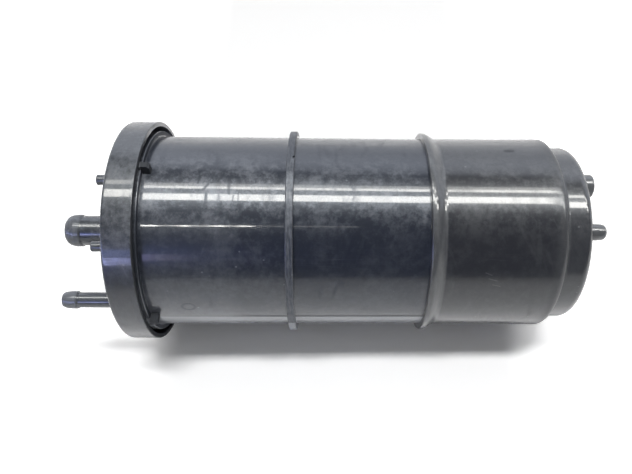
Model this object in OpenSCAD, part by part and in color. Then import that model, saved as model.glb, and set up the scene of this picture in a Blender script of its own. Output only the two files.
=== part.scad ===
// Vapour canister filled with activated carbon, lying along X.
// The origin is on the axis, in the middle of the strap seat between the mid rib and the joint lip.
// The hose ports point to -X and the vent stub points to +X. Lengths are in mm.

/* [Shell] */
// Outside diameter of the shell at the flange end
body_d = 120; // [100:1:140]
// How much smaller the outside diameter is at the joint
body_draft = 3; // [0.5:0.1:5]
// Wall of the shell and of the cap
wall = 2.6; // [2:0.1:3.6]
// Free length between the flange and the mid rib
bay_len = 81.2; // [60:0.2:110]
// Free length between the mid rib and the joint lip, where the strap sits
seat_len = 76; // [50:1:100]
// Width of the mid rib
rib_w = 4.4; // [3:0.1:7]
// Height of the mid rib over the shell
rib_h = 3.9; // [2:0.1:6]
// Width of the nick in the edge of the mid rib
nick_w = 2.4; // [1:0.1:2.8]
// Height of the flange over the shell
flange_h = 3.4; // [3:0.1:6]
// Thickness of the flange
flange_t = 4; // [3:0.1:6]

/* [Port cover] */
// Width of the rim along the axis
rim_w = 17.2; // [15:0.1:24]
// Thickness of the rim's skirt
rim_t = 2.7; // [1.8:0.1:4]
// Open gap between the flange and the skirt
rim_gap = 3; // [1.5:0.1:4]
// How far the flange stands out of the skirt
rim_set = 0.8; // [0:0.1:2]
// Rounding of the rim's outer edge
rim_round = 1.8; // [0.8:0.1:2.4]
// Thickness of the cover's plate
plate_t = 3.6; // [3:0.1:5]
// Depth of the cover's plug inside the shell
plug_len = 12; // [10:0.5:16]
// Thickness of the plug's ring
plug_t = 4.2; // [3.8:0.1:5]
// Width of a claw around the rim
claw_w = 3.7; // [3:0.1:8]
// Angle of the first claw from the front, upwards
claw_a = -2; // [-45:1:45]
// How far a claw stands out past the flange
claw_out = 4.8; // [3:0.1:10]
// Thickness of the seal along the axis
seal_w = 3; // [2.4:0.1:3.6]
// Height of the seal across its section
seal_h = 2.2; // [1.8:0.1:2.4]

/* [Hose ports] */
// Outside diameter of the large port
port_d = 18.5; // [14:0.5:22]
// Bore of the large port
port_bore = 12.4; // [9:0.2:12.6]
// Distance of the large port from the axis
port_r = 17.5; // [14:0.5:28]
// Angle of the large port from the front, upwards
port_a = 52.5; // [40:0.5:60]
// Outside diameter of the small port
small_d = 9.4; // [9:0.2:12]
// Bore of the small port
small_bore = 6.4; // [5:0.2:6.8]
// Distance of the small port from the axis
small_r = 49.5; // [42:0.5:49.5]
// Angle of the small port from the front, upwards
small_a = -5.5; // [-30:0.5:5]
// How far both ports stand out of the cover
port_len = 38; // [28:0.5:48]
// Length of the thickened end of a port
crest_len = 8.6; // [6:0.2:14]
// How much wider the thickened end is
crest_over = 1.4; // [0.6:0.1:2]
// Diameter of a peg on the cover
peg_d = 6; // [4:0.2:8]
// How far a peg stands out of the cover
peg_len = 11.7; // [6:0.1:18]
// Distance of the pegs from the axis
peg_r = 50; // [45:0.5:56]
// Angle of the upper peg from the front, upwards
peg_a1 = 90; // [80:1:110]
// Angle of the lower peg from the front, upwards
peg_a2 = 43.5; // [25:0.5:60]

/* [End cap] */
// Length of the cap from the lip to the shoulder
cap_len = 75.6; // [66:0.2:90]
// Height of the joint lip over the shell
lip_h = 3.6; // [2.4:0.1:5]
// Width of the lip's flat crown
lip_land = 1.3; // [0.8:0.1:5]
// Length of the rounded slope behind the lip
lip_slope = 8; // [4:0.5:10]
// Depth of the socket that takes the end of the shell
socket_len = 4; // [3:0.2:4.6]
// Width of the step between the cap and the drum
step_w = 5.3; // [5:0.1:9]
// Length of the drum at the end of the cap
drum_len = 15.6; // [12:0.2:22]
// Rounding of the drum's edge
drum_round = 5; // [3:0.2:7]
// Rounding of the cap's shoulder
cap_round = 3.8; // [1.5:0.1:4]
// Fillet at the foot of the drum
foot_round = 1.8; // [0.6:0.1:2.4]
// Diameter of the vent stub
vent_d = 14; // [11:0.2:15]
// Bore of the vent stub
vent_bore = 8.6; // [6:0.2:9]
// Distance of the vent stub from the axis
vent_r = 38.5; // [34:0.5:39]
// Angle of the vent stub from the front, upwards
vent_a = 99.5; // [90:0.5:115]
// Diameter of the stud at its foot
stud_d = 9.6; // [7:0.2:10]
// How much narrower the stud is at its tip
stud_taper = 1.6; // [0.4:0.1:2]
// Distance of the stud from the axis
stud_r = 42; // [36:0.5:43]
// Angle of the stud from the front, upwards
stud_a = 54.5; // [45:0.5:60]
// How far the vent stub stands out of the drum
vent_len = 7.8; // [5:0.2:16]
// How far the stud stands out of the drum
stud_len = 9.6; // [6:0.2:16]

/* [Filling] */
// Thickness of the support grid and of the pressure plate
grid_t = 3; // [2:0.1:4]
// Diameter of the holes in the perforated plates
hole_d = 5; // [3:0.1:5.6]
// Spacing of the rings of holes
hole_pitch = 8.8; // [8:0.1:12]
// Thickness of a filter fleece
fleece_t = 2.5; // [1.5:0.1:4]
// Thickness of the foam pad
foam_t = 8; // [5:0.5:12]
// Length of the fitted springs
spring_len = 40; // [32:0.5:50]
// Outside diameter of a spring
spring_d = 16; // [14:0.5:20]
// Thickness of the spring wire
wire_d = 1.8; // [1.2:0.1:2.2]
// Number of turns of a spring
turns = 7; // [5:1:8]
// Distance of the springs from the axis
spring_r = 22; // [20:0.5:24]
// Free play around the loose pieces
play = 0.2; // [0.1:0.05:0.4]

/* [Hidden] */
round_fn = 96;
small_fn = 48;
edge = 0.6;

body_r = body_d / 2;
x_lip = seat_len / 2;
x_rib1 = -seat_len / 2;
x_rib0 = x_rib1 - rib_w;
x_flange = x_rib0 - bay_len;
x_skirt = x_flange - rim_set;
x_rim = x_skirt - rim_w;
x_plate = x_rim + plate_t;
x_end = x_lip + socket_len;
x_plug = x_plate + plug_len;
x_grid = x_plug + grid_t;
x_bed = x_grid + fleece_t;

// The shell gets narrower at an even rate from the flange to its end in the cap.
slope = body_draft / 2 / (x_end - x_flange);
function shell_r(x) = body_r - slope * max(0, x - x_flange);
bore_r = body_r - wall;
end_r = shell_r(x_end);

flange_r = body_r + flange_h;
skirt_in = flange_r + rim_gap;
rim_r = skirt_in + rim_t;
plug_r = bore_r - play;
plug_in = plug_r - plug_t;
groove_r = bore_r - seal_h;
x_seal = x_plate + plug_len / 2;

cap_r = end_r + 0.15;
cap_in = cap_r - wall;
lip_r = shell_r(x_lip) + lip_h;
socket_r = shell_r(x_lip) + 0.05;

// Radius of the slope behind the lip, round at the crown and hollow at the foot.
function lip_at(share) = cap_r + (lip_r - cap_r) * (1 + cos(180 * share)) / 2;

x_step = x_lip + cap_len;
x_drum = x_step + drum_len;
drum_r = cap_r - step_w;
drum_in = drum_r - wall;
x_roof = x_drum - wall;
x_vent = x_drum + vent_len;
x_stud = x_drum + stud_len;

x_press1 = x_roof - spring_len;
x_press0 = x_press1 - grid_t;
x_foam = x_press0 - foam_t;
x_fleece = x_foam - fleece_t;
pad_r = cap_in - play;
boss_r = spring_d / 2 - wire_d - 0.5;
boss_h = 4;

// Turns a drawn half section, radius against length, about the X axis.
module spin(fn = round_fn) {
    rotate([0, 90, 0])
        rotate_extrude($fn = fn)
            children();
}

// Sets a piece at a distance from the axis and an angle from the front, upwards.
module polar(r, a) {
    translate([0, -r * cos(a), r * sin(a)])
        children();
}

// Round bar along X.
module bar(x0, x1, r, fn = small_fn) {
    translate([x0, 0, 0])
        rotate([0, 90, 0])
            cylinder(h = x1 - x0, r = r, $fn = fn);
}

// Sliver between a square corner and the arc inside it, for easing or filling that corner.
module corner(r, x, rad, dr, dx) {
    difference() {
        translate([min(r, r + dr * rad), min(x, x + dx * rad)])
            square(rad);
        translate([r + dr * rad, x + dx * rad])
            circle(r = rad, $fn = small_fn);
    }
}

// Long drafted shell with its flange and mid rib.
module canister_body() {
    color([0.07, 0.07, 0.08])
        difference() {
            spin()
                difference() {
                    polygon([
                        [bore_r, x_plate],
                        [body_r, x_plate],
                        [body_r, x_flange - flange_t],
                        [flange_r, x_flange - flange_t],
                        [flange_r, x_flange],
                        [body_r, x_flange],
                        [shell_r(x_rib0), x_rib0],
                        [shell_r(x_rib0) + rib_h, x_rib0],
                        [shell_r(x_rib0) + rib_h, x_rib1],
                        [shell_r(x_rib1), x_rib1],
                        [end_r, x_end],
                        [end_r - wall, x_end],
                        [bore_r, x_flange]
                    ]);
                    corner(shell_r(x_rib0) + rib_h, x_rib0, edge, -1, 1);
                    corner(shell_r(x_rib0) + rib_h, x_rib1, edge, -1, -1);
                    corner(flange_r, x_flange, edge, -1, -1);
                }
            polar(shell_r(x_rib1) + rib_h, 96)
                translate([x_rib1, 0, 0])
                    rotate([6, 0, 0])
                        cylinder(h = 3, r = nick_w / 2, center = true, $fn = small_fn);
        }
}

// Hose port with a thickened, rounded end.
module port(r, a, d) {
    crest_r = (d + crest_over) / 2;
    nose = d * 0.13;
    x_end_port = x_rim - port_len;
    x_back = x_end_port + crest_len;
    polar(r, a)
        spin(small_fn)
            polygon([
                [0, x_rim + plate_t / 2],
                [d / 2, x_rim + plate_t / 2],
                [d / 2, x_back + crest_over],
                [crest_r, x_back],
                [crest_r, x_back - crest_len * 0.35],
                [crest_r - nose * 0.1, x_back - crest_len * 0.55],
                [crest_r - nose * 0.3, x_back - crest_len * 0.75],
                [crest_r - nose * 0.6, x_back - crest_len * 0.9],
                [crest_r - nose, x_end_port],
                [0, x_end_port]
            ]);
}

// Claw on the inside of the skirt that catches behind the flange.
module claw(a) {
    rotate([-a, 0, 0])
        intersection() {
            translate([x_plate - 0.5, -rim_r, -claw_w / 2])
                cube([x_flange + claw_out - x_plate + 0.5, rim_r, claw_w]);
            spin()
                polygon([
                    [flange_r + play, x_plate - 0.5],
                    [skirt_in + rim_t / 2, x_plate - 0.5],
                    [skirt_in + rim_t / 2, x_skirt - edge],
                    [skirt_in - 0.2, x_skirt - edge],
                    [skirt_in - 0.2, x_flange + claw_out - 1.4],
                    [skirt_in - 1.6, x_flange + claw_out],
                    [body_r + play, x_flange + claw_out],
                    [body_r + play, x_flange + play],
                    [flange_r + play, x_flange + play]
                ]);
        }
}

// Cover with the broad rim, the claws, both hose ports and the two pegs.
module port_cover() {
    color([0.06, 0.06, 0.07])
        difference() {
            union() {
                spin()
                    difference() {
                        polygon([
                            [0, x_rim],
                            [rim_r, x_rim],
                            [rim_r, x_skirt],
                            [skirt_in, x_skirt],
                            [skirt_in, x_plate],
                            [plug_r, x_plate],
                            [plug_r, x_seal - seal_w / 2],
                            [groove_r, x_seal - seal_w / 2],
                            [groove_r, x_seal + seal_w / 2],
                            [plug_r, x_seal + seal_w / 2],
                            [plug_r, x_plug],
                            [plug_in, x_plug],
                            [plug_in, x_plate],
                            [0, x_plate]
                        ]);
                        corner(rim_r, x_rim, rim_round, -1, 1);
                        corner(rim_r, x_skirt, edge, -1, -1);
                    }
                for (k = [0:1:3]) {
                    claw(claw_a + k * 90);
                }
                port(port_r, port_a, port_d);
                port(small_r, small_a, small_d);
                for (a = [peg_a1, peg_a2]) {
                    polar(peg_r, a)
                        spin(small_fn)
                            difference() {
                                polygon([
                                    [0, x_rim - peg_len],
                                    [peg_d / 2, x_rim - peg_len],
                                    [peg_d / 2, x_rim + plate_t / 2],
                                    [0, x_rim + plate_t / 2]
                                ]);
                                corner(peg_d / 2, x_rim - peg_len, edge, -1, 1);
                            }
                }
            }
            polar(port_r, port_a)
                bar(x_rim - port_len - 1, x_plate + 1, port_bore / 2);
            polar(small_r, small_a)
                bar(x_rim - port_len - 1, x_plate + 1, small_bore / 2);
        }
}

// Rubber ring pressed between the plug's groove and the shell.
module cover_seal() {
    color([0.16, 0.1, 0.08])
        spin()
            difference() {
                translate([groove_r, x_seal - seal_w / 2])
                    square([seal_h, seal_w]);
                corner(bore_r, x_seal - seal_w / 2, seal_w / 4, -1, 1);
                corner(bore_r, x_seal + seal_w / 2, seal_w / 4, -1, -1);
            }
}

// Rings of holes through a plate, from the first ring to the last.
module holes(x0, x1, k0, k1) {
    for (k = [k0:1:k1]) {
        for (i = [0:1:6 * k - 1]) {
            polar(k * hole_pitch, i * 60 / k)
                bar(x0, x1, hole_d / 2, 24);
        }
    }
}

function last_ring(r) = floor((r - hole_d / 2 - 2) / hole_pitch);

// Perforated plate between the cover's plug and the filling.
module support_grid() {
    color([0.75, 0.74, 0.7])
        difference() {
            bar(x_plug, x_grid, plug_r, round_fn);
            holes(x_plug - 1, x_grid + 1, 1, last_ring(plug_in));
        }
}

// Filter fleece at the port side.
module port_fleece() {
    color([0.9, 0.9, 0.86])
        bar(x_grid, x_bed, min(plug_r, shell_r(x_bed) - wall - play), round_fn);
}

// Activated carbon that fills the shell and the start of the cap.
module carbon_bed() {
    color([0.05, 0.05, 0.05])
        spin()
            polygon([
                [0, x_bed],
                [shell_r(x_bed) - wall - play, x_bed],
                [shell_r(x_flange) - wall - play, max(x_bed, x_flange)],
                [end_r - wall - play, x_end],
                [cap_in - play, x_end],
                [cap_in - play, x_fleece],
                [0, x_fleece]
            ]);
}

// Filter fleece at the vent side.
module vent_fleece() {
    color([0.9, 0.9, 0.86])
        bar(x_fleece, x_foam, pad_r, round_fn);
}

// Foam pad that keeps an even pressure on the filling.
module vent_foam() {
    color([0.4, 0.42, 0.45])
        bar(x_foam, x_press0, pad_r, round_fn);
}

// Perforated plate with a centring boss for each spring.
module pressure_plate() {
    color([0.75, 0.74, 0.7]) {
        difference() {
            bar(x_press0, x_press1, pad_r, round_fn);
            holes(x_press0 - 1, x_press1 + 1, 4, last_ring(pad_r));
            holes(x_press0 - 1, x_press1 + 1, 1, 1);
        }
        for (a = [30:120:270]) {
            polar(spring_r, a)
                bar(x_press1 - grid_t / 2, x_press1 + boss_h, boss_r);
        }
    }
}

// Height of the wire's centre after u turns, with one close turn at either end.
close_turn = wire_d * 1.1;
function lift(u) =
    u < 1 ? wire_d / 2 + close_turn * u
    : u > turns - 1 ? spring_len - wire_d / 2 - close_turn * (turns - u)
    : wire_d / 2 + close_turn
        + (spring_len - wire_d - 2 * close_turn) * (u - 1) / (turns - 2);

// Compression spring of round wire.
module spring(a) {
    per_turn = 16;
    steps = turns * per_turn;
    sides = 6;
    mean_r = (spring_d - wire_d) / 2;
    points = [
        for (i = [0:1:steps])
            for (j = [0:1:sides - 1])
                let (t = i * 360 / per_turn, b = j * 360 / sides + 90, rr = mean_r + wire_d / 2 * cos(b))
                    [lift(i / per_turn) + wire_d / 2 * sin(b), rr * cos(t), rr * sin(t)]
    ];
    around = [
        for (i = [0:1:steps - 1])
            for (j = [0:1:sides - 1])
                let (n = (j + 1) % sides)
                    [i * sides + j, i * sides + n, (i + 1) * sides + n, (i + 1) * sides + j]
    ];
    first = [for (j = [sides - 1:-1:0]) j];
    last = [for (j = [0:1:sides - 1]) steps * sides + j];
    color([0.6, 0.6, 0.62])
        polar(spring_r, a)
            translate([x_press1, 0, 0])
                polyhedron(points = points, faces = concat(around, [first, last]), convexity = 8);
}

module spring_a() {
    spring(30);
}

module spring_b() {
    spring(150);
}

module spring_c() {
    spring(270);
}

// Cap with the flared joint lip, the stepped drum, the vent stub and the stud.
module end_cap() {
    color([0.08, 0.08, 0.09])
        difference() {
            union() {
                spin()
                    difference() {
                        union() {
                            polygon(concat(
                                [[socket_r, x_lip], [lip_r, x_lip]],
                                [
                                    for (k = [0:1:8])
                                        [lip_at(k / 8), x_lip + lip_land + lip_slope * k / 8]
                                ],
                                [
                                    [cap_r, x_step],
                                    [drum_r, x_step],
                                    [drum_r, x_drum],
                                    [0, x_drum],
                                    [0, x_roof],
                                    [drum_in, x_roof],
                                    [drum_in, x_step - wall],
                                    [cap_in, x_step - wall],
                                    [cap_in, x_end],
                                    [socket_r, x_end]
                                ]
                            ));
                            corner(drum_r, x_step, foot_round, 1, 1);
                        }
                        corner(cap_r, x_step, cap_round, -1, -1);
                        corner(drum_r, x_drum, drum_round, -1, -1);
                        corner(lip_r, x_lip, edge, -1, 1);
                    }
                for (a = [30:120:270]) {
                    polar(spring_r, a)
                        bar(x_roof - boss_h, x_roof + wall / 2, boss_r);
                }
                polar(vent_r, vent_a)
                    spin(small_fn)
                        difference() {
                            polygon([
                                [0, x_roof + wall / 4],
                                [vent_d / 2, x_roof + wall / 4],
                                [vent_d / 2, x_vent],
                                [0, x_vent]
                            ]);
                            corner(vent_d / 2, x_vent, 1.2, -1, -1);
                        }
                polar(stud_r, stud_a)
                    spin(small_fn)
                        polygon([
                            [0, x_roof + wall / 4],
                            [stud_d / 2, x_roof + wall / 4],
                            [stud_d / 2, x_drum + stud_len * 0.5],
                            [(stud_d - stud_taper * 0.3) / 2, x_drum + stud_len * 0.75],
                            [(stud_d - stud_taper * 0.7) / 2, x_drum + stud_len * 0.9],
                            [(stud_d - stud_taper) / 2 - edge, x_stud],
                            [0, x_stud]
                        ]);
            }
            polar(vent_r, vent_a)
                bar(x_roof - 1, x_vent + 1, vent_bore / 2);
        }
}

canister_body();
port_cover();
cover_seal();
support_grid();
port_fleece();
carbon_bed();
vent_fleece();
vent_foam();
pressure_plate();
spring_a();
spring_b();
spring_c();
end_cap();
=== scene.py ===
import math

import bpy
from mathutils import Matrix, Vector

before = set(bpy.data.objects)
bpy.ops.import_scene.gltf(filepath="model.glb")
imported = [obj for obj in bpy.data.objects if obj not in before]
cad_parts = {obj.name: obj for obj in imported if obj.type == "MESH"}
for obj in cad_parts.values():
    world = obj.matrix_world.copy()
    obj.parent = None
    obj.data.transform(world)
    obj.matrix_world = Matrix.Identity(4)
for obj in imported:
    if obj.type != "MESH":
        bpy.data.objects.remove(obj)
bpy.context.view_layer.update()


# The shell is a long drafted tube of black nylon, moulded in one piece with its flange and
# mid rib. It has been handled and stored: dust lies on its upper side in smears, the rib is
# scuffed dull, and the line where the mould parted runs along it.
class Wire:
    """A shader value that can be used in sums."""

    def __init__(self, finish, socket):
        self.finish = finish
        self.socket = socket

    def maths(self, operation, *values):
        sockets = dict(enumerate(values))
        return self.finish.node("ShaderNodeMath", {"operation": operation}, sockets)

    def __add__(self, other):
        return self.maths("ADD", self, other)

    __radd__ = __add__

    def __sub__(self, other):
        return self.maths("SUBTRACT", self, other)

    def __rsub__(self, other):
        return self.maths("SUBTRACT", other, self)

    def __mul__(self, other):
        return self.maths("MULTIPLY", self, other)

    __rmul__ = __mul__

    def __truediv__(self, other):
        return self.maths("DIVIDE", self, other)

    def __rtruediv__(self, other):
        return self.maths("DIVIDE", other, self)

    def __abs__(self):
        return self.maths("ABSOLUTE", self)

    def at_most(self, other):
        return self.maths("MINIMUM", self, other)

    def at_least(self, other):
        return self.maths("MAXIMUM", self, other)

    def fade(self, start, end, low=0.0, high=1.0):
        """Goes smoothly from low to high while this value goes from start to end."""
        return self.finish.node(
            "ShaderNodeMapRange",
            {"interpolation_type": "SMOOTHSTEP"},
            {"Value": self, "From Min": start, "From Max": end, "To Min": low, "To Max": high},
        )


class Finish:
    """A material, or the surroundings, built from nodes."""

    def __init__(self, name, tree=None):
        if tree is None:
            self.material = bpy.data.materials.new(name)
            self.material.use_nodes = True
            tree = self.material.node_tree
        self.tree = tree
        self.tree.nodes.clear()

    def node(self, kind, settings=None, sockets=None, out=0):
        made = self.tree.nodes.new(kind)
        for key, value in (settings or {}).items():
            if key == "stops":
                ramp = made.color_ramp.elements
                while len(ramp) < len(value):
                    ramp.new(0.5)
                for element, (place, shade) in zip(ramp, value):
                    element.position = place
                    element.color = shade
            else:
                setattr(made, key, value)
        for key, value in (sockets or {}).items():
            if isinstance(value, Wire):
                self.tree.links.new(value.socket, made.inputs[key])
            else:
                made.inputs[key].default_value = value
        if isinstance(out, tuple):
            return [Wire(self, made.outputs[key]) for key in out]
        return Wire(self, made.outputs[out]) if made.outputs else None

    def split(self, vector):
        return self.node("ShaderNodeSeparateXYZ", sockets={0: vector}, out=("X", "Y", "Z"))

    def spot(self):
        """Where a point is on its piece."""
        return self.node("ShaderNodeTexCoord", out="Object")

    def place(self):
        """Where a point is: its spot, its length along the axis, its turn around it from the
        front, its distance from it, and how far its face looks along the axis, as the flat
        ends do."""
        spot, normal = self.node("ShaderNodeTexCoord", out=("Object", "Normal"))
        along, across, height = self.split(spot)
        turn = along.maths("ARCTAN2", height, across * -1.0)
        reach = along.maths("SQRT", across * across + height * height)
        return spot, along, turn, reach, self.split(normal)[0]

    def spread(self, x, y, z):
        return self.node("ShaderNodeCombineXYZ", sockets={"X": x, "Y": y, "Z": z})

    def vectors(self, operation, first, second, out=0):
        return self.node(
            "ShaderNodeVectorMath", {"operation": operation}, {0: first, 1: second}, out=out
        )

    def grain(self, where, scale, detail=4.0, rough=0.55, warp=0.0):
        return self.node(
            "ShaderNodeTexNoise",
            {"noise_dimensions": "3D"},
            {
                "Vector": where,
                "Scale": scale,
                "Detail": detail,
                "Roughness": rough,
                "Distortion": warp,
            },
        )

    def mixed(self, share, first, second):
        return self.node(
            "ShaderNodeMix", {"data_type": "RGBA"}, {0: share, 6: first, 7: second}, out=2
        )

    def bump(self, height, distance, under=None):
        sockets = {"Height": height, "Distance": distance}
        if under is not None:
            sockets["Normal"] = under
        return self.node("ShaderNodeBump", sockets=sockets)

    def surface(self, **sockets):
        shader = self.node(
            "ShaderNodeBsdfPrincipled",
            sockets={key.replace("_", " "): value for key, value in sockets.items()},
        )
        self.node("ShaderNodeOutputMaterial", sockets={"Surface": shader})
        return self.material

    def handled(self, spot, along, girth, lean, shift):
        """Which part is the round wall, and its marks of handling: a patchy film of dust, wiped
        streaks, hair scratches and specks."""
        round_wall = abs(lean).fade(0.8, 0.95, 1.0, 0.0)
        moved = self.vectors("ADD", spot, (shift, 0.0, 0.0))
        film = self.grain(moved, 55.0, 3.0, 0.55) * 0.4 + self.grain(moved, 250.0, 6.0, 0.7) * 0.6
        broken = self.grain(self.spread(along * 38.0, girth * 38.0, shift + 3.0), 1.0, 3.0)
        streak = 0.0
        for slant in (0.45, 0.08, -0.35):
            across = (along + girth * slant) * 280.0
            wipe = self.grain(self.spread(across, girth * 34.0, shift + slant), 1.0, 4.0, 0.6)
            streak = streak + wipe.fade(0.54, 0.72)
        streak = streak.at_most(1.0) * broken.fade(0.4, 0.6)
        drift = self.spread(along * 6.0 + girth * 2.0, girth * 420.0 + along * 9.0, shift + 7.0)
        line = self.grain(drift, 1.0, 0.0)
        worn = self.grain(self.spread(along * 26.0, girth * 40.0, shift + 5.0), 1.0, 2.0)
        hair = abs(line - 0.5).fade(0.0, 0.02, 1.0, 0.0) * worn.fade(0.52, 0.66)
        dots = self.node(
            "ShaderNodeTexVoronoi", {"feature": "F1"}, {"Vector": spot, "Scale": 130.0}
        )
        speck = dots.fade(0.05, 0.1, 1.0, 0.0) * broken.fade(0.52, 0.6)
        return round_wall, film.fade(0.41, 0.66), streak * round_wall, hair * round_wall, speck

    def strokes(self, along, girth, radius, marks, core=0.0):
        """Straight marks, each given by two points, as length and angle, and half its width."""
        drawn = 0.0
        for x0, a0, x1, a1, half in marks:
            start = Vector((x0, math.radians(a0) * radius, 0.0))
            run = Vector((x1, math.radians(a1) * radius, 0.0)) - start
            away = self.vectors("SUBTRACT", self.spread(along, girth, 0.0), tuple(start))
            share = self.vectors("DOT_PRODUCT", away, tuple(run / run.length_squared), out=1)
            share = share.at_least(0.0).at_most(1.0)
            foot = self.spread(share * run.x, share * run.y, 0.0)
            gap = self.vectors("DISTANCE", away, foot, out=1)
            drawn = drawn + gap.fade(half * core, half, 1.0, 0.0)
        return drawn.at_most(1.0)


def haze(turn):
    """How much dust lies in a haze, by the turn around the axis: most on the upper side."""
    return turn.fade(0.85, 1.25) * turn.fade(1.4, 1.95, 1.0, 0.1)


def table_side(turn):
    """The front of the lower half, which looks at the table."""
    return turn.fade(0.5, 0.02) * turn.fade(-1.3, -0.6)


def dress(material, *nodes):
    for name in nodes:
        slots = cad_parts[name].data.materials
        slots.clear()
        slots.append(material)


# The pale colour here is the dust's, and also that of the painted reflections and highlights on
# the shell and the cover.
SHELL_DUST_AND_SHEEN = (0.305, 0.322, 0.355, 1.0)
SHELL_BLACK = (0.0075, 0.0095, 0.0165, 1.0)
SHELL_TINT = (0.84, 0.92, 1.02, 1.0)
SHELL_RADIUS = 0.06
FLANGE_END = -0.1
FLANGE_EDGE_RADIUS = 0.0629
PORTED_END = -0.078
RIB_START = -0.06
BAY_END = -0.05
MOULD_SEAM = math.radians(-4.6)

shell = Finish("shell_plastic")
spot, along, turn, reach, lean = shell.place()
girth = turn * SHELL_RADIUS
_, film, streak, hair, speck = shell.handled(spot, along, girth, lean, 0.0)

# Dust settles on the upper side, and most of it between the flange and the mid rib. Hands
# have wiped it into slanting smears.
upper = turn.fade(0.75, 1.2) * turn.fade(1.75, 3.1, 1.0, 0.0)
table_glow = table_side(turn)
bay = along.fade(BAY_END, BAY_END + 0.02, 1.0, 0.4)
ported = along.fade(PORTED_END, PORTED_END + 0.012, 1.0, 0.0)
smear = shell.strokes(
    along, girth, SHELL_RADIUS,
    (
        (-0.0034, 69.1, -0.0100, 55.5, 0.0026), (-0.0100, 55.5, -0.0078, 48.1, 0.0022),
        (0.0195, 53.6, 0.0158, 46.0, 0.0014), (0.0344, 68.3, 0.0337, 51.0, 0.0022),
        (-0.0049, 84.8, -0.0029, 69.1, 0.0028), (-0.0528, 88.4, -0.0507, 65.5, 0.0048),
        (-0.0714, 51.5, -0.0731, 58.9, 0.0018), (-0.0808, 50.4, -0.0786, 85.3, 0.0016),
    ),
) * (0.35 + film * 0.65)
cut = shell.strokes(
    along, girth, SHELL_RADIUS,
    (
        (-0.0857, 80.1, -0.0887, 76.6, 0.0010), (-0.0744, 82.8, -0.0739, 74.7, 0.0013),
        (-0.0752, 85.6, -0.0728, 80.9, 0.0008), (-0.0712, 73.5, -0.0717, 70.7, 0.0007),
        (-0.0865, 74.2, -0.0865, 69.4, 0.0013), (-0.0685, 74.9, -0.0686, 70.3, 0.0006),
        (-0.0790, 84.0, -0.0776, 87.0, 0.0010), (-0.0805, 82.1, -0.0788, 84.7, 0.0010),
        (-0.0909, 85.2, -0.0916, 80.7, 0.0010),
    ),
    0.3,
)
all_round = (0.04 + bay * 0.05) * turn.fade(1.6, 1.9, 1.0, 0.4)
pale = film * (haze(turn) * (0.2 + bay * 0.16) + all_round) + smear * 0.06
pale = pale + streak * (0.02 + bay * 0.06) * (0.3 + upper * 0.5) + hair * 0.04 + speck * 0.25
# The front of the lower half is painted paler, most toward the port end: a painted reflection of
# the white table.
pale = pale + ported * turn.fade(1.5, 1.8, 0.03, 0.0) + table_glow * (0.1 + ported * 0.11)
pale = pale * (1.0 - cut * 0.7)

# The mould parts along two opposite lines, which show as a dark seam. Below the seam the lower
# half is duller, and its front is painted paler: a painted reflection of the table.
line = abs(turn - MOULD_SEAM).at_most(abs(turn - MOULD_SEAM - math.pi))
line = line.fade(0.012, 0.02, 1.0, 0.0) * along.fade(-0.085, -0.06, 0.3, 1.0)
duller_and_painted_below = turn.fade(MOULD_SEAM - 0.026, MOULD_SEAM - 0.016, 1.0, 0.0)
pale = pale * (1.0 - line) + duller_and_painted_below * turn.fade(-1.1, -0.5, 0.0, 0.5)

# The rib is scuffed. The face of the flange, down in the trench inside the cover's rim, is
# painted darker and duller as painted shade, and a painted highlight runs along the flange's
# edge, stronger toward the table.
proud = reach.fade(0.0604, 0.061)
rib = proud * along.fade(RIB_START, RIB_START + 0.005)
flange = proud * along.fade(FLANGE_END, FLANGE_END + 0.005, 1.0, 0.0)
rubbed = shell.grain(shell.spread(along * 900.0, girth * 160.0, 4.0), 1.0, 4.0)
pale = pale + rib * rubbed.fade(0.35, 0.7, 0.06, 0.24)
shaded_end_face = flange * lean.fade(0.5, 0.9)
flange_edge_highlight = flange * reach.fade(FLANGE_EDGE_RADIUS, FLANGE_EDGE_RADIUS + 0.0004)
pale = pale * (1.0 - shaded_end_face * 0.85) + flange_edge_highlight * (0.05 + table_glow * 0.13)

# One small oval dent was pressed into the front.
DENT_ALONG = -0.0998
DENT_GIRTH = math.radians(6.5) * SHELL_RADIUS
DENT_HALF_LENGTH = 0.0036
DENT_HALF_WIDTH = 0.0030
ring = shell.vectors(
    "LENGTH",
    shell.spread(
        (along - DENT_ALONG) / DENT_HALF_LENGTH, (girth - DENT_GIRTH) / DENT_HALF_WIDTH, 0.0
    ),
    (0.0, 0.0, 0.0),
    out=1,
)
ring = abs(ring - 1.0).fade(0.0, 0.45, 1.0, 0.0)

# The wall isn't quite even, so the reflections on it waver. Dust and marks take its gloss.
WAVE_HEIGHT = 0.00012
ripple = shell.grain(spot, 34.0, 1.0, 0.4)
relief = shell.bump(ripple, WAVE_HEIGHT)
relief = shell.bump(ring * -1.0 - line, WAVE_HEIGHT, relief)
gloss = 1.0 - streak * 0.6 - film * upper * 0.45 - smear * 0.45 - cut * 0.65 - ring * 0.3
dress(
    shell.surface(
        Base_Color=shell.mixed(
            (pale * (1.0 - ring * 0.5)).at_most(1.0), SHELL_BLACK, SHELL_DUST_AND_SHEEN
        ),
        Roughness=0.3 + film * upper * 0.04 + smear * 0.06 + rib * 0.14 + shaded_end_face * 0.3,
        Specular_Tint=SHELL_TINT,
        Coat_Weight=gloss.at_least(0.0)
        * (1.0 - rib * 0.85) * (1.0 - shaded_end_face) * (1.0 - line) * (1.0 - duller_and_painted_below * 0.3),
        Coat_Roughness=0.062,
        Normal=relief,
    ),
    "canister_body",
)


# The seal is a ring of dark rubber. It is pressed into the groove of the cover's plug and
# closes against the inside of the shell.
RUBBER_DARK = (0.02, 0.016, 0.014, 1.0)
RUBBER_BLOOM = (0.06, 0.052, 0.045, 1.0)
BLOOM_HEIGHT = 0.00008

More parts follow.
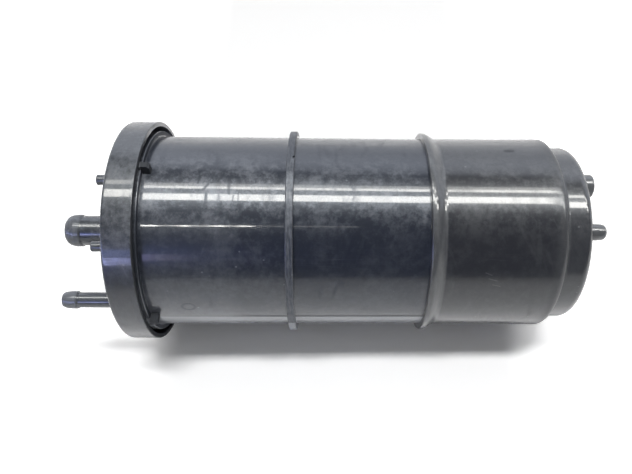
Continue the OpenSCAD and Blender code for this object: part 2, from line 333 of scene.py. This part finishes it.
rubber = Finish("seal_rubber")
spot = rubber.spot()
bloom = rubber.grain(spot, 240.0, 4.0)
dress(
    rubber.surface(
        Base_Color=rubber.mixed(bloom.fade(0.4, 0.75), RUBBER_DARK, RUBBER_BLOOM),
        Roughness=0.62 + bloom * 0.2,
        Normal=rubber.bump(bloom, BLOOM_HEIGHT),
    ),
    "cover_seal",
)


# The support grid and the pressure plate are perforated discs of uncoloured nylon. They keep
# the filters flat; carbon dust has settled on them.
NYLON_PALE = (0.62, 0.6, 0.53, 1.0)
NYLON_SOOTY = (0.14, 0.14, 0.135, 1.0)
SOOT_HEIGHT = 0.00005

nylon = Finish("grid_plastic")
spot = nylon.spot()
cloud = nylon.grain(spot, 60.0, 4.0)
soot = nylon.grain(spot, 420.0, 3.0)
dress(
    nylon.surface(
        Base_Color=nylon.mixed(
            cloud.fade(0.35, 0.8) * soot.fade(0.45, 0.7) * 0.6, NYLON_PALE, NYLON_SOOTY
        ),
        Roughness=0.42 + cloud * 0.2,
        Normal=nylon.bump(soot, SOOT_HEIGHT),
    ),
    "support_grid", "pressure_plate",
)


# Both filter fleeces are punched discs of white polyester fibre. They hold the carbon back
# and are grey where they touch it.
FLEECE_WHITE = (0.8, 0.79, 0.74, 1.0)
FLEECE_GREY = (0.25, 0.25, 0.25, 1.0)
FLEECE_RADIUS = 0.05
FIBRE_HEIGHT = 0.0003

fleece = Finish("filter_fleece")
spot, along, turn, reach, _ = fleece.place()
girth = turn * FLEECE_RADIUS
fibre = fleece.grain(
    fleece.spread(along * 300.0, girth * 900.0, reach * 240.0), 1.0, 5.0, 0.7, 2.0
)
stain = fleece.grain(spot, 45.0, 4.0)
dress(
    fleece.surface(
        Base_Color=fleece.mixed(stain.fade(0.4, 0.8) * 0.7, FLEECE_WHITE, FLEECE_GREY),
        Roughness=0.85 + fibre * 0.1,
        Normal=fleece.bump(fibre, FIBRE_HEIGHT),
    ),
    "port_fleece", "vent_fleece",
)


# The filling is loose activated carbon, pressed into one bed between the fleeces. Its grains
# are dull black and about two millimetres long.
CARBON_DULL = (0.03, 0.03, 0.031, 1.0)
CARBON_GAP_SHADE = (0.006, 0.006, 0.006, 1.0)
GRAIN_HEIGHT = 0.0009

carbon = Finish("carbon")
spot = carbon.spot()
grains = carbon.node(
    "ShaderNodeTexVoronoi", {"feature": "F1"}, {"Vector": spot, "Scale": 480.0, "Randomness": 1.0}
)
# The gaps between the grains are painted darker: painted shade between them.
dress(
    carbon.surface(
        Base_Color=carbon.mixed(grains.fade(0.1, 0.7), CARBON_DULL, CARBON_GAP_SHADE),
        Roughness=0.75 + grains * 0.2,
        Normal=carbon.bump(1.0 - grains, GRAIN_HEIGHT),
    ),
    "carbon_bed",
)


# The foam pad is a disc of open-celled grey foam, cut from a block. It spreads the force of
# the springs evenly.
FOAM_GREY = (0.17, 0.175, 0.185, 1.0)
FOAM_PORE_SHADE = (0.03, 0.031, 0.033, 1.0)
CELL_DEPTH = 0.0007

foam = Finish("filter_foam")
spot = foam.spot()
cells = foam.node(
    "ShaderNodeTexVoronoi", {"feature": "DISTANCE_TO_EDGE"}, {"Vector": spot, "Scale": 620.0}
)
# The pores of the cells are painted darker: painted shade in them.
dress(
    foam.surface(
        Base_Color=foam.mixed(cells.fade(0.02, 0.2), FOAM_GREY, FOAM_PORE_SHADE),
        Roughness=0.9 - cells * 0.1,
        Normal=foam.bump(cells.fade(0.0, 0.2, 1.0, 0.0), CELL_DEPTH),
    ),
    "vent_foam",
)


# The springs are wound from drawn steel wire. They stand on bosses between the pressure plate
# and the roof of the cap.
WIRE_GREY = (0.42, 0.42, 0.43, 1.0)
WIRE_BRIGHT = (0.56, 0.56, 0.57, 1.0)
DRAWN_DEPTH = 0.00003

steel = Finish("spring_steel")
_, along, turn, reach, _ = steel.place()
drawn = steel.grain(steel.spread(along * 1600.0, turn * 9.0, reach * 300.0), 1.0, 4.0)
dress(
    steel.surface(
        Base_Color=steel.mixed(drawn.fade(0.35, 0.7), WIRE_GREY, WIRE_BRIGHT),
        Metallic=1.0,
        Roughness=0.26 + drawn * 0.16,
        Normal=steel.bump(drawn, DRAWN_DEPTH),
    ),
    "spring_a", "spring_b", "spring_c",
)


# The end cap is a black nylon cup. Its flared lip is welded over the end of the shell, and its
# stepped drum carries the vent stub and the stud. Its gloss is duller than the shell's.
CAP_BLACK = (0.0105, 0.0105, 0.0125, 1.0)
# The pale colour is the dust's, and also that of the painted reflection of the table on the cap.
CAP_DUST_AND_SHEEN = (0.32, 0.33, 0.335, 1.0)
CAP_TINT = (0.88, 0.93, 1.0, 1.0)
CAP_RADIUS = 0.05865
LIP_END = 0.0464
SHOULDER_START = 0.103
SHOULDER_END = 0.1165
DRUM_START = 0.1135
STUBS_START = 0.1288
CAP_WAVE_HEIGHT = 0.00014
SCRATCH_DEPTH = 0.00005

cap = Finish("cap_plastic")
spot, along, turn, _, lean = cap.place()
girth = turn * CAP_RADIUS
round_wall, film, streak, hair, speck = cap.handled(spot, along, girth, lean, 4.3)
upper = turn.fade(0.4, 1.1, 0.25, 1.0) * turn.fade(2.2, 3.1, 1.0, 0.25) * round_wall
lip = along.fade(LIP_END, LIP_END + 0.001, 1.0, 0.0)
shoulder = along.fade(SHOULDER_START, SHOULDER_START + 0.0095)
shoulder = shoulder * along.fade(SHOULDER_END - 0.002, SHOULDER_END, 1.0, 0.0)
drum = along.fade(DRUM_START, DRUM_START + 0.002)
stubs = along.fade(STUBS_START, STUBS_START + 0.0008)
rubbed = cap.grain(cap.spread(along * 500.0, girth * 90.0, 9.0), 1.0, 4.0)
smear = cap.strokes(
    along, girth, CAP_RADIUS,
    (
        (0.0487, 78.2, 0.0607, 77.6, 0.0042), (0.1024, 72.5, 0.1066, 71.4, 0.0034),
        (0.0963, 80.8, 0.0958, 65.2, 0.0020), (0.0835, 84.0, 0.0832, 71.9, 0.0012),
        (0.0631, 88.7, 0.0622, 81.3, 0.0018),
    ),
) * (0.4 + film * 0.6)
pale = film * (haze(turn) * round_wall * 0.15 + 0.04) + streak * 0.03 + hair * 0.04
# The front of the lower half is painted a little paler: a painted reflection of the table.
pale = pale + speck * 0.2 + smear * 0.04 + table_side(turn) * round_wall * 0.06 + 0.01
pale = pale + drum * 0.04 + stubs * 0.16 + shoulder * 0.1
pale = pale + lip * rubbed.fade(0.3, 0.75, 0.1, 0.18)

# Short scratches on the front, and one dark spot near the top.
scratch = cap.strokes(
    along, girth, CAP_RADIUS,
    (
        (0.0688, 31.6, 0.0723, 30.1, 0.0004), (0.0709, 27.9, 0.0755, 26.6, 0.0004),
        (0.0736, 24.0, 0.0777, 23.0, 0.0004),
    ),
    0.4,
)
dark_spot = cap.strokes(
    along, girth, CAP_RADIUS, ((0.0850, 108.0, 0.0885, 108.2, 0.0022),), 0.4
)
pale = (pale + scratch * 0.1) * (1.0 - dark_spot)

ripple = cap.grain(spot, 30.0, 1.0, 0.4)
dress(
    cap.surface(
        Base_Color=cap.mixed(pale.at_most(1.0), CAP_BLACK, CAP_DUST_AND_SHEEN),
        Roughness=0.29 + film * 0.03 + smear * 0.06 + lip * 0.08,
        Specular_Tint=CAP_TINT,
        Coat_Weight=(1.0 - streak * 0.35 - film * upper * 0.2 - smear * 0.5).at_least(0.0)
        * (1.0 - lip * 0.15) * (1.0 - shoulder * 0.7) * (1.0 - dark_spot * 0.8),
        Coat_Roughness=0.07,
        Normal=cap.bump(scratch * -1.0, SCRATCH_DEPTH, cap.bump(ripple, CAP_WAVE_HEIGHT)),
    ),
    "end_cap",
)


# The port cover is a black nylon moulding with a broad rim, two hose ports and two pegs. It is
# snapped over the shell's flange by the claws inside its skirt, and it is satin from handling.
COVER_BLACK = (0.0125, 0.0135, 0.017, 1.0)
COVER_TINT = (0.87, 0.94, 1.0, 1.0)
RIM_RADIUS = 0.069
SKIRT_RADIUS = 0.0655
SKIRT_INSIDE_RADIUS = 0.0666
CLAWS_START = -0.1238
PORT_ENDS = -0.1712
COVER_WAVE_HEIGHT = 0.00012

cover = Finish("cover_plastic")
spot, along, turn, reach, lean = cover.place()
girth = turn * RIM_RADIUS
round_wall, film, streak, hair, speck = cover.handled(spot, along, girth, lean, 9.1)
upper = turn.fade(0.4, 1.1, 0.3, 1.0) * turn.fade(2.2, 3.1, 1.0, 0.3)
upper = upper * round_wall + (1.0 - round_wall) * 0.3
skirt = reach.fade(SKIRT_RADIUS, SKIRT_RADIUS + 0.0005)
# The end face of the skirt, except at the far top, and the claws inside it are painted darker and
# duller: painted shade in the trench between the cover and the shell.
shaded_end_face = skirt * lean.fade(0.5, 0.9) * turn.fade(1.65, 1.95, 1.0, 0.0)
shaded_claws = along.fade(CLAWS_START, CLAWS_START + 0.0006)
# The inside of the skirt at the far top is painted pale: a painted reflection of the bright
# surroundings.
inside_painted_glow = skirt * reach.fade(SKIRT_INSIDE_RADIUS, SKIRT_INSIDE_RADIUS + 0.0006, 1.0, 0.0)
inside_painted_glow = inside_painted_glow * turn.fade(1.85, 2.0) * (1.0 - shaded_claws)
nozzle = along.fade(PORT_ENDS, PORT_ENDS + 0.0016, 1.0, 0.0)
# The front of the lower half is painted a little paler: a painted reflection of the table.
pale = 0.03 + film * upper * 0.26 + table_side(turn) * round_wall * 0.11
pale = pale + streak * 0.1 + hair * 0.05 + speck * 0.2 + nozzle * 0.2 + inside_painted_glow * 0.6
shaded_and_dull = (shaded_end_face + shaded_claws).at_most(1.0)
pale = pale * (1.0 - shaded_and_dull * 0.9)
ripple = cover.grain(spot, 60.0, 2.0, 0.5) + cover.grain(spot, 230.0, 2.0, 0.5) * 0.35
dress(
    cover.surface(
        Base_Color=cover.mixed(pale.at_most(1.0), COVER_BLACK, SHELL_DUST_AND_SHEEN),
        Roughness=0.36 + film * 0.06 + shaded_and_dull * 0.3,
        Specular_Tint=COVER_TINT,
        Coat_Weight=(1.0 - streak * 0.4 - film * 0.6).at_least(0.0) * (1.0 - shaded_end_face)
        * (1.0 - nozzle * 0.6) * (1.0 - shaded_claws),
        Coat_Roughness=0.06,
        Normal=cover.bump(ripple, COVER_WAVE_HEIGHT),
    ),
    "port_cover",
)


# The canister lies on a white table, on its rim and on its joint lip, so the table is not
# quite level with the axis. To the camera the table glows white far away, and a painted glow
# just past both ends of the canister lightens the ends of its shadow.
RIM_TOUCH = Vector((-0.1244, 0.0, -0.0691))
LIP_TOUCH = Vector((0.0390, 0.0, -0.06214))
TABLE_HALF = 4.0
TABLE_GAP = Vector((0.0, 0.0, 0.0002))
PORT_END = 0.005
VENT_END = 0.222
TABLE_TONES = (0.9, 0.9, 0.905, 1.0), (0.93, 0.93, 0.93, 1.0)
TABLE_SEEN = (0.98, 0.98, 0.98, 1.0)
TABLE_BRIGHT = (0.9, 0.9, 0.9, 1.0)
TABLE_MIRRORED = (0.5, 0.51, 0.53, 1.0)
NO_LIGHT = (0.0, 0.0, 0.0, 1.0)

lean_down = math.atan2(LIP_TOUCH.z - RIM_TOUCH.z, LIP_TOUCH.x - RIM_TOUCH.x)
table_mesh = bpy.data.meshes.new("table")
table_mesh.from_pydata(
    [
        (-TABLE_HALF, -TABLE_HALF, 0),
        (TABLE_HALF, -TABLE_HALF, 0),
        (TABLE_HALF, TABLE_HALF, 0),
        (-TABLE_HALF, TABLE_HALF, 0),
    ],
    [],
    [(0, 1, 2, 3)],
)
table = bpy.data.objects.new("table", table_mesh)
table.matrix_world = (
    Matrix.Translation(RIM_TOUCH - TABLE_GAP) @ Matrix.Rotation(-lean_down, 4, "Y")
)
bpy.context.scene.collection.objects.link(table)

paper = Finish("table_white")
spot = paper.spot()
along, back, _ = paper.split(spot)
tone = paper.grain(spot, 3.0, 2.0)
far = paper.vectors("LENGTH", spot, (0.0, 0.0, 0.0), out=1).fade(0.45, 1.6)
painted_glow_ends = along.fade(PORT_END, PORT_END - 0.04) + along.fade(VENT_END, VENT_END + 0.034)
white = (far + painted_glow_ends * 0.5).at_most(1.0)
seen, mirrored = paper.node("ShaderNodeLightPath", out=("Is Camera Ray", "Is Glossy Ray"))
table_mesh.materials.append(
    paper.surface(
        Base_Color=paper.mixed(seen, paper.mixed(tone, *TABLE_TONES), TABLE_SEEN),
        Roughness=0.7,
        IOR=1.3,
        Emission_Color=paper.mixed(
            seen * white,
            paper.mixed(mirrored * back.fade(0.2, 1.2), NO_LIGHT, TABLE_MIRRORED),
            TABLE_BRIGHT,
        ),
        Emission_Strength=1.0,
    )
)


# Two long lamps hang over the table, a little behind the canister and not quite along it, and
# make the two bright bars on it. A thin lamp at the front, bright and faint in turn, makes the
# broken glint, and a soft one lights the dust and the table.
LAMP_DISTANCE = 1.5
WARM_WHITE = (1.0, 0.985, 0.935)
PLAIN_WHITE = (1.0, 1.0, 1.0)
THIN_ANGLE = 59.3
THIN_WIDTH = 0.022
THIN_STRETCHES = (-0.577, -0.494, -0.435, -0.403, -0.343, -0.293, -0.257, -0.222)
THIN_BRIGHT, THIN_FAINT = 60.0, 13.0


def strip(name, angle, middle, length, width, radiance, swing=0.0, shows="glossy"):
    """A lamp over the axis, at an angle from the front, with its middle shifted along the axis,
    and swung about its own face. Angles are in degrees, lengths in metres."""
    toward = Vector((0.0, -math.cos(math.radians(angle)), math.sin(math.radians(angle))))
    side = Matrix.Rotation(math.radians(swing), 3, toward) @ Vector((1.0, 0.0, 0.0))
    lamp = bpy.data.lights.new(name, "AREA")
    lamp.shape = "RECTANGLE"
    lamp.size = length
    lamp.size_y = width
    lamp.energy = radiance * math.pi * length * width
    lamp.color = WARM_WHITE if shows == "glossy" else PLAIN_WHITE
    hung = bpy.data.objects.new(name, lamp)
    hung.matrix_world = (
        Matrix.Translation(toward * LAMP_DISTANCE + side * middle)
        @ Matrix((side, toward.cross(side), toward)).transposed().to_4x4()
    )
    hung.visible_diffuse = shows == "diffuse"
    hung.visible_glossy = shows == "glossy"
    bpy.context.scene.collection.objects.link(hung)


strip("lamp_near", 92.0, 0.045, 1.23, 0.20, 18.5, -2.9)
strip("lamp_near_left", 90.6, -0.80, 0.42, 0.20, 17.0)
strip("lamp_near_right", 89.4, 1.28, 1.24, 0.20, 18.5)
strip("lamp_far", 103.5, 0.045, 1.23, 0.075, 17.0, -4.0)
strip("lamp_far_glow", 106.8, 0.045, 1.23, 0.10, 5.0, -4.0)
strip("lamp_far_left", 102.2, -0.80, 0.42, 0.12, 7.5)
strip("lamp_far_right", 100.8, 1.28, 1.24, 0.10, 15.0)
for number, (start, end) in enumerate(zip(THIN_STRETCHES, THIN_STRETCHES[1:])):
    strip(
        "lamp_thin_%d" % number, THIN_ANGLE, (start + end) / 2, end - start, THIN_WIDTH,
        THIN_FAINT if number % 2 else THIN_BRIGHT,
    )
strip("lamp_thin_end", THIN_ANGLE, -0.065, 0.318, THIN_WIDTH, 2.5)
strip("lamp_soft", 87.2, -0.02, 1.0, 0.16, 39.0, shows="diffuse")

# The room is dim and bluish, and pale low down behind the canister. Cool light from the left
# shows in the rim and the ports as a violet patch with a blue edge over it.
ROOM_DIFFUSE = (0.33, 0.33, 0.33, 1.0)
ROOM_SEEN = (1.0, 1.0, 1.0, 1.0)
PATCH_GREY = (0.95, 0.85, 1.1, 1.0)
PATCH_VIOLET = (1.5, 1.5, 3.0, 1.0)
PATCH_BLUE = (0.8, 1.2, 3.6, 1.0)
PATCH_BRIGHT = (7.0, 7.7, 14.0, 1.0)

world = bpy.data.worlds.new("room")
world.use_nodes = True
bpy.context.scene.world = world
room = Finish("room", world.node_tree)
heading = room.node("ShaderNodeTexCoord", out="Generated")
sideways, depth, rise = room.split(heading)
facing = rise.maths("ARCTAN2", rise, depth * -1.0) / (2.0 * math.pi) + 0.5
walls = room.node(
    "ShaderNodeValToRGB",
    {
        "stops": [
            (0.0, (0.9, 0.9, 0.9, 1)),
            (0.48, (0.24, 0.25, 0.28, 1)),
            (0.52, (0.13, 0.145, 0.19, 1)),
            (0.72, (0.13, 0.145, 0.19, 1)),
            (0.84, (0.1, 0.105, 0.125, 1)),
            (0.851, (0.16, 0.17, 0.2, 1)),
            (0.862, (1.0, 1.06, 1.18, 1)),
            (0.88, (1.42, 1.5, 1.67, 1)),
            (0.9, (1.5, 1.58, 1.75, 1)),
            (0.95, (0.95, 1.0, 1.1, 1)),
            (1.0, (0.9, 0.93, 1.0, 1)),
        ]
    },
    {"Fac": facing + sideways * 0.038},
)
glints = room.grain(heading, 40.0, 2.0, 0.6).fade(0.36, 0.54, 0.15, 1.0)
patch = facing.fade(0.548, 0.556) * facing.fade(0.57, 0.576, 1.0, 0.0)
edge = facing.fade(0.572, 0.58) * facing.fade(0.59, 0.602, 1.0, 0.0)
left = sideways.fade(-0.3, -0.335)
walls = room.mixed(patch * sideways.fade(-0.19, -0.26), walls, PATCH_GREY)
walls = room.mixed(patch * sideways.fade(-0.26, -0.29), walls, PATCH_VIOLET)
walls = room.mixed(edge * left, walls, PATCH_BLUE)
walls = room.mixed(patch * glints * left, walls, PATCH_BRIGHT)
seen, mirrored = room.node("ShaderNodeLightPath", out=("Is Camera Ray", "Is Glossy Ray"))
shade = room.mixed(mirrored, ROOM_DIFFUSE, walls)
shade = room.mixed(seen, shade, ROOM_SEEN)
glow = room.node("ShaderNodeBackground", sockets={"Color": shade, "Strength": 1.0})
room.node("ShaderNodeOutputWorld", sockets={"Surface": glow})


# The camera looks down on the canister from the front, at the angle of the photograph.
# The picture is 632 pixels wide, and the lens is given in those pixels. It is held a little
# askew, so it is turned, tipped and rolled before it is raised.
FOCAL_PIXELS = 600.0
IMAGE_WIDTH = 632.0
STAND_OFF = 0.3878
SIDE_STEP = -0.0185
LOOK_DOWN = math.radians(54.5)
YAW, PITCH, ROLL = math.radians(1.19), math.radians(-0.59), math.radians(0.30)
right = Vector((math.cos(YAW), math.sin(YAW), 0))
ahead = Vector((-math.sin(YAW), math.cos(YAW), 0))
over = Vector((0, 0, 1))
ahead, over = (
    math.cos(PITCH) * ahead + math.sin(PITCH) * over,
    math.cos(PITCH) * over - math.sin(PITCH) * ahead,
)
right, over = (
    math.cos(ROLL) * right + math.sin(ROLL) * over,
    math.cos(ROLL) * over - math.sin(ROLL) * right,
)
tip = Matrix.Rotation(-LOOK_DOWN, 3, "X")
lens = bpy.data.cameras.new("camera")
lens.sensor_width = 36.0
lens.lens = FOCAL_PIXELS / IMAGE_WIDTH * lens.sensor_width
lens.clip_start = 0.01
camera = bpy.data.objects.new("camera", lens)
camera.matrix_world = (
    Matrix.Translation(tip @ Vector((SIDE_STEP, -STAND_OFF, 0)))
    @ Matrix((tip @ right, tip @ over, -(tip @ ahead))).transposed().to_4x4()
)
bpy.context.scene.collection.objects.link(camera)
bpy.context.scene.camera = camera

bpy.context.scene.view_settings.view_transform = "Standard"
